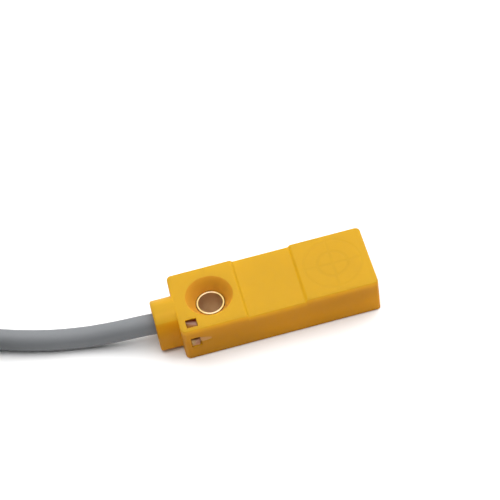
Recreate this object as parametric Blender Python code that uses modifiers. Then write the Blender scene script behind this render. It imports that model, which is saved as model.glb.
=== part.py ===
"""Miniature block-style magnetic proximity sensor with a moulded-in three-core lead.

Frame: +X runs from the cable collar to the sensing end, +Z is up out of the sensing face,
the origin is at the middle of the underside of the housing.  Lengths below are in
millimetres and are turned into metres by the helpers.
"""
import math

import bmesh
import bpy
from mathutils import Matrix, Vector

MM = 0.001

# ---------------------------------------------------------------- driving dimensions
BODY_LENGTH = 28.1
BODY_WIDTH = 10.25
BODY_HEIGHT = 6.4
COLLAR_LENGTH = 3.13
BODY_X0 = (COLLAR_LENGTH - BODY_LENGTH) / 2   # cable end of the block
BODY_X1 = BODY_X0 + BODY_LENGTH      # sensing end of the block
CORNER_RADIUS = 0.68
EDGE_RADIUS = 0.38

COLLAR_RADIUS = 3.2                  # round top and straight sides of the collar
COLLAR_FOOT_RADIUS = 1.3
CABLE_Z = 3.2
CABLE_DIAMETER = 3.0
CABLE_BORE = 3.18

WALL_SIDE = 0.67
WALL_END = 0.70
CEILING_Z = 5.30

HOLE_X = BODY_X0 + 5.1
SINK_RADIUS = 3.36
SINK_FOOT_RADIUS = 2.10
SINK_FOOT_Z = 4.72
BUSH_OUTER_RADIUS = 2.02
BUSH_BORE_RADIUS = 1.70
BOSS_RADIUS = 3.10

RECESS_X0 = BODY_X0 + 9.45
RECESS_X1 = BODY_X0 + 17.85
RECESS_DEPTH = 0.37
RECESS_RAMP = 0.45

TOP_WINDOW = (BODY_X0 + 0.9, BODY_X0 + 2.45, -4.55, -3.15)
SIDE_WINDOW = (BODY_X0 + 1.1, BODY_X0 + 2.4, 2.85, 4.60)
SIDE_SLOT_TIP_X = BODY_X0 + 4.05
LIGHT_PIPE_TOP_Z = 5.65

BOARD = (BODY_X0 + 0.95, BODY_X0 + 27.15, -4.2, 4.2, 1.0, 1.6)
BOARD_TOP = BOARD[5] + 0.06
RESIN_TOP = 0.8

CORE_DIAMETER = 0.9
LEAD_DIAMETER = 1.0
TIP_DIAMETER = 0.6
SENSE_X = BODY_X0 + 22.9

COIL_X, COIL_Y = -62.8, -5.3
COIL_INNER_RADIUS = 11.95
COIL_OUTER_RADIUS = 21.05
COIL_Z0, COIL_Z1 = 0.7, 22.0
TIE_THICKNESS = 0.4
TIE_WIDTH = 3.0
TIE_ANGLES = (57.0, 237.0)

# centre line of the lead: straight out of the collar, down onto the surface, away to the coil
CABLE_ROUTE = [
    (-15.88, 0.04, 3.19), (-17.65, 0.33, 3.00), (-20.52, 0.84, 2.50), (-23.38, 1.51, 1.95),
    (-26.18, 2.17, 1.57), (-28.98, 2.79, 1.50), (-31.68, 3.54, 1.50), (-34.48, 4.43, 1.50),
    (-37.18, 5.50, 1.50), (-40.58, 6.86, 1.50), (-44.48, 8.41, 1.50),
]


# ---------------------------------------------------------------- scene and helpers
for old in list(bpy.data.objects):
    bpy.data.objects.remove(old, do_unlink=True)

parts = bpy.data.collections.new("proximity_sensor")
cutters = bpy.data.collections.new("proximity_sensor_cutters")
bpy.context.scene.collection.children.link(parts)
bpy.context.scene.collection.children.link(cutters)


def material(name, rgb, roughness, metallic=0.0, transmission=0.0):
    m = bpy.data.materials.new(name)
    m.use_nodes = True
    s = m.node_tree.nodes["Principled BSDF"]
    s.inputs["Base Color"].default_value = (*rgb, 1.0)
    s.inputs["Roughness"].default_value = roughness
    s.inputs["Metallic"].default_value = metallic
    s.inputs["Transmission Weight"].default_value = transmission
    m.diffuse_color = (*rgb, 1.0)
    return m


YELLOW = material("yellow_pbt", (0.78, 0.44, 0.04), 0.45)
BRASS = material("brass", (0.83, 0.58, 0.22), 0.28, 1.0)
CLEAR = material("clear_resin", (0.80, 0.72, 0.70), 0.12, 0.0, 0.7)
LED_WHITE = material("led_package", (0.75, 0.30, 0.22), 0.35)
BOARD_GREEN = material("board_green", (0.03, 0.20, 0.07), 0.45)
CHIP_BLACK = material("chip_black", (0.02, 0.02, 0.022), 0.5)
RESISTOR_BLACK = material("resistor_black", (0.04, 0.04, 0.05), 0.4)
CERAMIC_TAN = material("capacitor_tan", (0.45, 0.30, 0.16), 0.5)
SOLDER = material("solder", (0.62, 0.63, 0.65), 0.3, 1.0)
RESIN_BLACK = material("potting_black", (0.03, 0.03, 0.033), 0.35)
JACKET_GREY = material("jacket_grey", (0.30, 0.32, 0.33), 0.55)
CORE_BROWN = material("core_brown", (0.16, 0.05, 0.02), 0.45)
CORE_BLUE = material("core_blue", (0.02, 0.10, 0.42), 0.45)
CORE_BLACK = material("core_black", (0.015, 0.015, 0.016), 0.45)
TIE_WHITE = material("tie_nylon", (0.72, 0.72, 0.70), 0.4)
TINNED = material("tinned_copper", (0.66, 0.66, 0.66), 0.28, 1.0)


def place(obj, coll, mat=None):
    for c in list(obj.users_collection):
        c.objects.unlink(obj)
    coll.objects.link(obj)
    if mat is not None:
        obj.data.materials.clear()
        obj.data.materials.append(mat)
    if coll is cutters:
        obj.hide_render = True
        obj.display_type = "WIRE"
    return obj


def object_from_bmesh(name, bm, location, coll, mat):
    bmesh.ops.recalc_face_normals(bm, faces=bm.faces)
    mesh = bpy.data.meshes.new(name)
    bm.to_mesh(mesh)
    bm.free()
    obj = bpy.data.objects.new(name, mesh)
    obj.location = location
    coll.objects.link(obj)
    return place(obj, coll, mat)


def box(name, x0, x1, y0, y1, z0, z1, coll=parts, mat=None, bevel=0.0, segments=1):
    bm = bmesh.new()
    bmesh.ops.create_cube(bm, size=1.0, matrix=Matrix.Diagonal(
        ((x1 - x0) * MM, (y1 - y0) * MM, (z1 - z0) * MM, 1.0)))
    centre = Vector(((x0 + x1) / 2, (y0 + y1) / 2, (z0 + z1) / 2)) * MM
    obj = object_from_bmesh(name, bm, centre, coll, mat)
    if bevel:
        round_edges(obj, bevel, segments)
    return obj


def cone(name, r_low, r_high, x, y, z0, z1, sides, coll=parts, mat=None, axis="Z"):
    """Cylinder or frustum.  Along Z the pair is (bottom, top); along X it is (low x, high x)."""
    bm = bmesh.new()
    length = (z1 - z0) if axis == "Z" else z1 - z0
    bmesh.ops.create_cone(bm, cap_ends=True, segments=sides, radius1=r_low * MM,
                          radius2=r_high * MM, depth=length * MM)
    if axis == "X":
        bmesh.ops.rotate(bm, verts=bm.verts, matrix=Matrix.Rotation(math.pi / 2, 3, "Y"))
        centre = Vector(((z0 + z1) / 2, x, y)) * MM
    else:
        centre = Vector((x, y, (z0 + z1) / 2)) * MM
    return object_from_bmesh(name, bm, centre, coll, mat)


def round_edges(obj, width, segments=2, angle=40.0):
    m = obj.modifiers.new("edge_rounding", "BEVEL")
    m.width = width * MM
    m.segments = segments
    m.limit_method = "ANGLE"
    m.angle_limit = math.radians(angle)
    m.use_clamp_overlap = False
    return m


def combine(obj, other, operation):
    m = obj.modifiers.new(operation.lower() + "_" + other.name, "BOOLEAN")
    m.operation = operation
    m.solver = "EXACT"
    m.object = other
    return m


def arc(cx, cy, r, a0, a1, n):
    return [(cx + r * math.cos(math.radians(a0 + (a1 - a0) * i / n)),
             cy + r * math.sin(math.radians(a0 + (a1 - a0) * i / n))) for i in range(n + 1)]


def rounded_rectangle(x0, x1, y0, y1, r, n=4):
    return (arc(x1 - r, y1 - r, r, 0, 90, n) + arc(x0 + r, y1 - r, r, 90, 180, n)
            + arc(x0 + r, y0 + r, r, 180, 270, n) + arc(x1 - r, y0 + r, r, 270, 360, n))


def outline(name, loops, thickness, matrix=None, coll=parts, mat=None):
    """Flat outline (first loop) with holes (other loops), centred on its own plane."""
    curve = bpy.data.curves.new(name, "CURVE")
    curve.dimensions = "2D"
    curve.fill_mode = "BOTH"
    curve.extrude = thickness * MM / 2
    for loop in loops:
        s = curve.splines.new("POLY")
        s.points.add(len(loop) - 1)
        for p, (u, v) in zip(s.points, loop):
            p.co = (u * MM, v * MM, 0.0, 1.0)
        s.use_cyclic_u = True
    obj = bpy.data.objects.new(name, curve)
    coll.objects.link(obj)
    obj.matrix_world = matrix or Matrix.Identity(4)
    bpy.context.view_layer.update()
    mesh = bpy.data.meshes.new_from_object(
        obj.evaluated_get(bpy.context.evaluated_depsgraph_get()))
    solid = bpy.data.objects.new(name, mesh)
    solid.matrix_world = obj.matrix_world.copy()
    bpy.data.objects.remove(obj, do_unlink=True)
    solid.name = name
    bm = bmesh.new()
    bm.from_mesh(mesh)
    bmesh.ops.remove_doubles(bm, verts=bm.verts, dist=1e-6)
    bmesh.ops.dissolve_degenerate(bm, edges=bm.edges, dist=1e-7)
    bmesh.ops.recalc_face_normals(bm, faces=bm.faces)
    bm.to_mesh(mesh)
    bm.free()
    coll.objects.link(solid)
    return place(solid, coll, mat)


def plane_xz(y):
    """Matrix of an outline drawn in (x, z), thickness along y."""
    return Matrix.Translation(Vector((0, y, 0)) * MM) @ Matrix.Rotation(math.pi / 2, 4, "X")


def plane_yz(x):
    """Matrix of an outline drawn in (y, z), thickness along x."""
    return (Matrix.Translation(Vector((x, 0, 0)) * MM)
            @ Matrix(((0, 0, 1, 0), (1, 0, 0, 0), (0, 1, 0, 0), (0, 0, 0, 1))))


def smooth_route(points, spacing):
    """Points read at an even spacing from a centripetal Catmull-Rom curve through the route."""
    p = [Vector(q) for q in points]
    p = [p[0] * 2 - p[1]] + p + [p[-1] * 2 - p[-2]]
    dense = []
    for i in range(1, len(p) - 2):
        a, b, c, d = p[i - 1:i + 3]
        t0 = 0.0
        t1 = t0 + math.sqrt((b - a).length)
        t2 = t1 + math.sqrt((c - b).length)
        t3 = t2 + math.sqrt((d - c).length)
        for k in range(24):
            t = t1 + (t2 - t1) * k / 24
            a1 = a * ((t1 - t) / (t1 - t0)) + b * ((t - t0) / (t1 - t0))
            a2 = b * ((t2 - t) / (t2 - t1)) + c * ((t - t1) / (t2 - t1))
            a3 = c * ((t3 - t) / (t3 - t2)) + d * ((t - t2) / (t3 - t2))
            b1 = a1 * ((t2 - t) / (t2 - t0)) + a2 * ((t - t0) / (t2 - t0))
            b2 = a2 * ((t3 - t) / (t3 - t1)) + a3 * ((t - t1) / (t3 - t1))
            dense.append(b1 * ((t2 - t) / (t2 - t1)) + b2 * ((t - t1) / (t2 - t1)))
    dense.append(p[-2])
    total = sum((q - r).length for q, r in zip(dense[1:], dense))
    count = max(2, round(total / spacing))
    out, run, k = [dense[0]], 0.0, 0
    for n in range(1, count):
        want = total * n / count
        while run + (dense[k + 1] - dense[k]).length < want:
            run += (dense[k + 1] - dense[k]).length
            k += 1
        step = (dense[k + 1] - dense[k]).length
        out.append(dense[k].lerp(dense[k + 1], (want - run) / step))
    return out + [dense[-1]]


def tube(name, points, diameter, mat, resolution=2, coll=parts):
    curve = bpy.data.curves.new(name, "CURVE")
    curve.dimensions = "3D"
    curve.bevel_depth = diameter * MM / 2
    curve.bevel_resolution = resolution
    curve.use_fill_caps = True
    s = curve.splines.new("POLY")
    s.points.add(len(points) - 1)
    for p, q in zip(s.points, points):
        p.co = (q[0] * MM, q[1] * MM, q[2] * MM, 1.0)
    obj = bpy.data.objects.new(name, curve)
    coll.objects.link(obj)
    return place(obj, coll, mat)


def smooth_shading(obj, angle=35.0):
    obj.data.shade_smooth()
    obj.data.set_sharp_from_angle(angle=math.radians(angle))


# ---------------------------------------------------------------- housing shell
def make_housing():
    half = BODY_WIDTH / 2
    body = outline("housing", [rounded_rectangle(BODY_X0, BODY_X1, -half, half, CORNER_RADIUS)],
                   BODY_HEIGHT, Matrix.Translation(Vector((0, 0, BODY_HEIGHT / 2)) * MM),
                   parts, YELLOW)
    round_edges(body, EDGE_RADIUS, 3, 50.0)

    # collar: half-round top, straight sides, flat foot, all flush with the block top and bottom
    r, f = COLLAR_RADIUS, COLLAR_FOOT_RADIUS
    d_shape = (arc(0, r, r, 0, 180, 20) + arc(-r + f, f, f, 180, 270, 4)
               + arc(r - f, f, f, 270, 360, 4))
    collar_end = BODY_X0 + 0.5
    collar = outline("collar_block", [d_shape], COLLAR_LENGTH + 0.5,
                     plane_yz((BODY_X0 - COLLAR_LENGTH + collar_end) / 2), cutters)
    round_edges(collar, 0.24, 3, 60.0)
    combine(body, collar, "UNION")

    # label recess right across the top, with sloping ends
    z1, z0 = BODY_HEIGHT, BODY_HEIGHT - RECESS_DEPTH
    k = RECESS_RAMP / RECESS_DEPTH
    over = 0.5
    recess = outline("recess_cutter", [[
        (RECESS_X0 - k * over, z1 + over), (RECESS_X0 + RECESS_RAMP, z0),
        (RECESS_X1 - RECESS_RAMP, z0), (RECESS_X1 + k * over, z1 + over)]],
        BODY_WIDTH + 2, plane_xz(0), cutters)
    combine(body, recess, "DIFFERENCE")

    # inside of the shell, open at the bottom, leaving the screw boss standing
    cavity = box("cavity_cutter", BODY_X0 + WALL_END, BODY_X1 - WALL_END,
                 -half + WALL_SIDE, half - WALL_SIDE, -1.0, CEILING_Z, cutters, bevel=0.2,
                 segments=1)
    boss = cone("boss_core", BOSS_RADIUS, BOSS_RADIUS, HOLE_X, 0, -2.0, CEILING_Z + 1, 40, cutters)
    combine(cavity, boss, "DIFFERENCE")
    combine(body, cavity, "DIFFERENCE")

    # countersink over the bush, and the bush's hole
    slope = (SINK_RADIUS - SINK_FOOT_RADIUS) / (BODY_HEIGHT - SINK_FOOT_Z)
    sink = cone("sink_cutter", SINK_FOOT_RADIUS, SINK_RADIUS + slope, HOLE_X, 0,
                SINK_FOOT_Z, BODY_HEIGHT + 1.0, 48, cutters)
    combine(body, sink, "DIFFERENCE")
    hole = cone("hole_cutter", SINK_FOOT_RADIUS, SINK_FOOT_RADIUS, HOLE_X, 0,
                -1.0, SINK_FOOT_Z + 0.02, 48, cutters)
    combine(body, hole, "DIFFERENCE")

    # bore for the lead, with a wider mouth inside where the cores turn away
    bore = cone("cable_bore_cutter", CABLE_BORE / 2, CABLE_BORE / 2, 0, CABLE_Z,
                BODY_X0 - COLLAR_LENGTH - 1, BODY_X0 + 0.4, 32, cutters, axis="X")
    combine(body, bore, "DIFFERENCE")
    mouth = cone("bore_mouth_cutter", CABLE_BORE / 2, 2.35, 0, CABLE_Z,
                 BODY_X0 + 0.1, BODY_X0 + 0.85, 32, cutters, axis="X")
    combine(body, mouth, "DIFFERENCE")

    # indicator windows in the top and in the near side
    x0, x1, y0, y1 = TOP_WINDOW
    combine(body, box("top_window_cutter", x0, x1, y0, y1, 4.85, BODY_HEIGHT + 1, cutters),
            "DIFFERENCE")
    x0, x1, z0, z1 = SIDE_WINDOW
    combine(body, box("side_window_cutter", x0, x1, -half - 1, -half + WALL_SIDE + 0.2,
                      z0, z1, cutters), "DIFFERENCE")
    slot = outline("side_slot_cutter", [[(x1 - 0.2, 3.45), (SIDE_SLOT_TIP_X, 3.62),
                                         (SIDE_SLOT_TIP_X, 4.12), (x1 - 0.2, 4.5)]],
                   0.3 + 0.5, plane_xz(-half - 0.5 + 0.4), cutters)
    combine(body, slot, "DIFFERENCE")
    smooth_shading(body)
    return body


make_housing()

# ---------------------------------------------------------------- brass sleeve
bush = cone("mounting_bush", BUSH_OUTER_RADIUS, BUSH_OUTER_RADIUS, HOLE_X, 0, 0.0, SINK_FOOT_Z,
            48, parts, BRASS)
combine(bush, cone("bush_bore_cutter", BUSH_BORE_RADIUS, BUSH_BORE_RADIUS, HOLE_X, 0,
                   -1.0, SINK_FOOT_Z + 1, 48, cutters), "DIFFERENCE")
smooth_shading(bush)

# ---------------------------------------------------------------- light pipe
GAP = 0.06
pipe = box("light_pipe", BODY_X0 + 0.80, BODY_X0 + 4.2, -4.38, -3.24, 2.72, 5.22, parts, CLEAR)
combine(pipe, box("pipe_top", TOP_WINDOW[0] + GAP, TOP_WINDOW[1] - GAP, TOP_WINDOW[2] + GAP,
                  TOP_WINDOW[3] - GAP - 0.06, 4.92, LIGHT_PIPE_TOP_Z, cutters), "UNION")
combine(pipe, box("pipe_side", SIDE_WINDOW[0] + GAP, SIDE_WINDOW[1] - GAP,
                  -BODY_WIDTH / 2 + 0.04, -4.2, SIDE_WINDOW[2] + GAP, SIDE_WINDOW[3] - GAP,
                  cutters), "UNION")
combine(pipe, outline("pipe_tongue", [[(SIDE_WINDOW[1] - 0.4, 3.52), (SIDE_SLOT_TIP_X - 0.1, 3.69),
                                       (SIDE_SLOT_TIP_X - 0.1, 4.05),
                                       (SIDE_WINDOW[1] - 0.4, 4.42)]],
                      0.2, plane_xz(-BODY_WIDTH / 2 + 0.04 + 0.1), cutters), "UNION")

# ---------------------------------------------------------------- circuit board and resin
board = box("circuit_board", *BOARD, coll=parts, mat=BOARD_GREEN)
combine(board, cone("board_hole_cutter", BOSS_RADIUS + 0.3, BOSS_RADIUS + 0.3, HOLE_X, 0,
                    0, 3, 40, cutters), "DIFFERENCE")
resin = box("potting_resin", BODY_X0 + WALL_END + 0.12, BODY_X1 - WALL_END - 0.12,
            -BODY_WIDTH / 2 + WALL_SIDE + 0.12, BODY_WIDTH / 2 - WALL_SIDE - 0.12,
            0.0, RESIN_TOP, parts, RESIN_BLACK)
combine(resin, cone("resin_hole_cutter", BOSS_RADIUS + 0.06, BOSS_RADIUS + 0.06, HOLE_X, 0,
                    -1, 3, 40, cutters), "DIFFERENCE")


# ---------------------------------------------------------------- components on the board
def gull_wing(name, side, x, y_body, width=0.4):
    """One lead of a surface-mount package: out of the body side, down, and out along the board."""
    z, t = BOARD_TOP, 0.13
    s = side
    pts = [(y_body - s * 0.15, z + 0.62), (y_body + s * 0.28, z + 0.62),
           (y_body + s * 0.40, z + t), (y_body + s * 0.75, z + t),
           (y_body + s * 0.75, z), (y_body + s * 0.30, z),
           (y_body + s * 0.18, z + 0.62 - t), (y_body - s * 0.15, z + 0.62 - t)]
    return outline(name, [pts], width, plane_yz(x), cutters)


def package(name, x, y, lx, ly, lz, legs_low, legs_high, mat):
    body = box(name, x - lx / 2, x + lx / 2, y - ly / 2, y + ly / 2,
               BOARD_TOP + 0.08, BOARD_TOP + lz, parts, mat, bevel=0.12, segments=1)
    for side, rows, yy in ((-1, legs_low, y - ly / 2), (1, legs_high, y + ly / 2)):
        for i, dx in enumerate(rows):
            combine(body, gull_wing(f"{name}_leg_{'ab'[side > 0]}{i}", side, x + dx, yy), "UNION")
    return body


def chip(name, x, y, lx, ly, lz, mat):
    """Two-terminal chip: ceramic body with a slightly prouder cap at each end."""
    body = box(name, x - lx / 2 + 0.1, x + lx / 2 - 0.1, y - ly / 2, y + ly / 2,
               BOARD_TOP + 0.03, BOARD_TOP + lz, parts, mat)
    for i, s in enumerate((-1, 1)):
        a, b = sorted((x + s * lx / 2, x + s * (lx / 2 - 0.3)))
        combine(body, box(f"{name}_cap_{i}", a, b, y - ly / 2 - 0.03, y + ly / 2 + 0.03,
                          BOARD_TOP, BOARD_TOP + lz + 0.03, cutters), "UNION")
    return body


B = BODY_X0
package("comparator_ic", B + 16.6, 1.5, 2.9, 1.6, 1.1, (-0.95, 0.0, 0.95), (-0.95, 0.95),
        CHIP_BLACK)
package("output_transistor", B + 13.2, -2.0, 2.9, 1.3, 1.0, (-0.95, 0.95), (0.0,), CHIP_BLACK)
chip("polarity_diode", B + 12.9, 3.0, 1.7, 1.25, 0.95, CHIP_BLACK)
chip("surge_diode", B + 12.9, 0.9, 1.7, 1.25, 0.95, CHIP_BLACK)
chip("resistor_1", B + 16.6, -1.6, 1.6, 0.8, 0.45, RESISTOR_BLACK)
chip("resistor_2", B + 16.6, -3.2, 1.6, 0.8, 0.45, RESISTOR_BLACK)
chip("resistor_3", B + 19.0, -3.4, 1.6, 0.8, 0.45, RESISTOR_BLACK)
chip("resistor_4", B + 19.6, 3.4, 1.6, 0.8, 0.45, RESISTOR_BLACK)
chip("capacitor_1", B + 25.5, -2.6, 2.0, 1.25, 0.95, CERAMIC_TAN)
chip("capacitor_2", B + 25.5, 2.6, 2.0, 1.25, 0.95, CERAMIC_TAN)

# indicator LED: small package with a low dome, under the light pipe
led = box("indicator_led", B + 1.0, B + 2.6, -4.15, -3.35, BOARD_TOP, BOARD_TOP + 0.45, parts,
          LED_WHITE)
combine(led, cone("led_dome", 0.38, 0.22, B + 1.8, -3.75, BOARD_TOP + 0.3, BOARD_TOP + 0.85,
                  20, cutters), "UNION")

# Hall chip: flat three-legged package lying just under the sensing face, legs bent to the board
hall = box("hall_sensor_ic", SENSE_X - 1.5, SENSE_X + 1.5, -2.05, 2.05, 3.66, 5.16, parts,
           CHIP_BLACK, bevel=0.22, segments=1)
for i, y in enumerate((-1.27, 0.0, 1.27)):
    t = 0.38
    x0 = SENSE_X - 1.2
    leg = outline(f"hall_leg_{i}", [[(x0, 4.60), (SENSE_X - 2.35, 4.60), (SENSE_X - 2.62, 4.34),
                                     (SENSE_X - 2.62, BOARD_TOP), (SENSE_X - 2.62 + t, BOARD_TOP),
                                     (SENSE_X - 2.62 + t, 4.12), (SENSE_X - 2.14, 4.22),
                                     (x0, 4.22)]], 0.4, plane_xz(y), cutters)
    combine(hall, leg, "UNION")

# ---------------------------------------------------------------- lead inside the housing
jacket = cone("cable_jacket_end", CABLE_DIAMETER / 2, CABLE_DIAMETER / 2, 0, CABLE_Z,
              B - COLLAR_LENGTH + 0.03, B - 0.4, 24, parts, JACKET_GREY, axis="X")
smooth_shading(jacket)

JOINT_X = B + 10.75
CORES = {
    "brown": (2.25, 3.3, CORE_BROWN, [(7.0, 3.72, 2.20), (8.8, 3.42, 2.15)]),
    "blue": (3.20, 1.65, CORE_BLUE, [(7.0, 3.60, 3.10), (8.6, 2.60, 2.70)]),
    "black": (4.15, 0.0, CORE_BLACK, [(7.0, 3.42, 4.05), (8.6, 1.90, 3.50)]),
}
for n, (colour, (z, pad_y, mat, tail)) in enumerate(CORES.items(), 1):
    way = [(-0.34, 0.0, z), (0.30, 0.03, z), (0.88, 0.26, z), (1.25, 0.80, z), (1.42, 1.60, z),
           (1.72, 2.45, z), (2.45, 3.25, z), (3.60, 3.72, z), (5.20, 3.85, z)]
    way += tail + [(10.2, pad_y, 2.17)]
    tube(f"core_{colour}", smooth_route([(B + x, y, q) for x, y, q in way], 0.8),
         CORE_DIAMETER, mat)
    joint = cone(f"solder_joint_{n}", 0.44, 0.16, JOINT_X, pad_y, BOARD_TOP, BOARD_TOP + 0.6, 20,
                 parts, SOLDER)
    smooth_shading(joint)

# ---------------------------------------------------------------- lead outside the housing
tube("cable_run", smooth_route(CABLE_ROUTE, 4.2), CABLE_DIAMETER, JACKET_GREY)


def make_coil():
    """Outer shape of the wound lead: a turned ring with rounded corners."""
    profile = rounded_rectangle(COIL_INNER_RADIUS, COIL_OUTER_RADIUS, COIL_Z0, COIL_Z1, 1.4, 2)
    profile.reverse()                    # down the outer side, so that the ring faces outwards
    bm = bmesh.new()
    verts = [bm.verts.new((r * MM, 0.0, z * MM)) for r, z in profile]
    for a, b in zip(verts, verts[1:] + verts[:1]):
        bm.edges.new((a, b))
    mesh = bpy.data.meshes.new("cable_coil")
    bm.to_mesh(mesh)
    bm.free()
    obj = bpy.data.objects.new("cable_coil", mesh)
    parts.objects.link(obj)
    obj.location = (COIL_X * MM, COIL_Y * MM, 0.0)
    m = obj.modifiers.new("turn", "SCREW")
    m.axis = "Z"
    m.angle = 2 * math.pi
    m.steps = m.render_steps = 48
    m.screw_offset = 0.0
    m.use_merge_vertices = True
    m.merge_threshold = 1e-6
    m.use_smooth_shade = True
    return place(obj, parts, JACKET_GREY)


make_coil()


def around_coil(angle):
    """Frame at an angle round the coil: u radial, v up, thickness along the turns."""
    a = math.radians(angle)
    radial = Vector((math.cos(a), math.sin(a), 0.0))
    up = Vector((0.0, 0.0, 1.0))
    along = radial.cross(up)
    m = Matrix((radial, up, along)).transposed().to_4x4()
    m.translation = Vector((COIL_X, COIL_Y, 0.0)) * MM
    return m


for n, angle in enumerate(TIE_ANGLES, 1):
    g, t = 0.3, TIE_THICKNESS
    inner = rounded_rectangle(COIL_INNER_RADIUS - g, COIL_OUTER_RADIUS + g,
                              COIL_Z0 - g, COIL_Z1 + g, 1.5, 3)
    outer = rounded_rectangle(COIL_INNER_RADIUS - g - t, COIL_OUTER_RADIUS + g + t,
                              COIL_Z0 - g - t, COIL_Z1 + g + t, 1.9, 3)
    outline(f"coil_tie_{n}", [outer, inner], TIE_WIDTH, around_coil(angle), parts, TIE_WHITE)

# stripped far end: three cores lying on top of the coil, each with a tinned tip
LEAD_Z = COIL_Z1 + 0.3 + LEAD_DIAMETER / 2
for colour, radius, mat, start in (("brown", 15.2, CORE_BROWN, 279.0),
                                   ("blue", 16.5, CORE_BLUE, 277.0),
                                   ("black", 17.8, CORE_BLACK, 280.0)):
    sweep = math.degrees(30.0 / 16.5)
    line = [(COIL_X + radius * math.cos(math.radians(start + sweep * i / 15)),
             COIL_Y + radius * math.sin(math.radians(start + sweep * i / 15)), LEAD_Z)
            for i in range(16)]
    tube(f"lead_{colour}", line, LEAD_DIAMETER, mat)
    tip_start = start + sweep + math.degrees(0.3 / radius)
    tip_sweep = math.degrees(5.0 / radius)
    line = [(COIL_X + radius * math.cos(math.radians(tip_start + tip_sweep * i / 3)),
             COIL_Y + radius * math.sin(math.radians(tip_start + tip_sweep * i / 3)), LEAD_Z)
            for i in range(4)]
    tube(f"lead_tip_{colour}", line, TIP_DIAMETER, TINNED)
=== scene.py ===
import math

import bmesh
import bpy
import numpy as np
from mathutils import Matrix, Vector


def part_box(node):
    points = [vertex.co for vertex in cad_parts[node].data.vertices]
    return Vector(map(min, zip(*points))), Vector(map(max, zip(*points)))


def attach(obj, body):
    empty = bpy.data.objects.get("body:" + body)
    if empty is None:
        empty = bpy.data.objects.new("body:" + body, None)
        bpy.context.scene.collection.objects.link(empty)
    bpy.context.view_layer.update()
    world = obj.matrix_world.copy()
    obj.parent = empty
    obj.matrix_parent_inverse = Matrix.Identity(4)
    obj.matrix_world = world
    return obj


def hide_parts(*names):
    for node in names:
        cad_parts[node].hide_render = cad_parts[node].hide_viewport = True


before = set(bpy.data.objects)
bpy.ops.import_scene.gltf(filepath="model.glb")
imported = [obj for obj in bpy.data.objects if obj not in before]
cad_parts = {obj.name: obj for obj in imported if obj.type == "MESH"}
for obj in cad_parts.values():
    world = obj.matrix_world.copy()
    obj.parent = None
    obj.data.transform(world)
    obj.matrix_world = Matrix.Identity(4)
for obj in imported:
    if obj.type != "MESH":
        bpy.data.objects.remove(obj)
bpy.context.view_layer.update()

MM = 0.001
scene = bpy.context.scene
ROOT = "root"

# ------------------------------------------------------------------ dimensions (mm)
X0, X1 = -12.485, 15.615
HW, H = 5.125, 6.4
COLLAR_X = -15.615
HOLE_X = X0 + 5.1
SENSE_X = X0 + 22.9
STEP_A, STEP_B = X0 + 9.45, X0 + 17.82
SINK_FOOT_Z = 4.72
CABLE_R = 1.5

# ------------------------------------------------------------------ camera
cam_data = bpy.data.cameras.new("camera")
cam_data.lens = 2082.0 * 36.0 / 500.0
cam_data.sensor_width = 36.0
cam_data.clip_start, cam_data.clip_end = 0.01, 20.0
cam = bpy.data.objects.new("camera", cam_data)
scene.collection.objects.link(cam)
right = Vector((0.96544, -0.23969, -0.10234)).normalized()
up = Vector((0.25111, 0.75033, 0.61151))
up = (up - right * up.dot(right)).normalized()
back = right.cross(up)
m = Matrix((right, up, back)).transposed().to_4x4()
m.translation = Vector((-20.4498, -174.4115, 236.0187)) * MM
cam.matrix_world = m
scene.camera = cam


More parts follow.
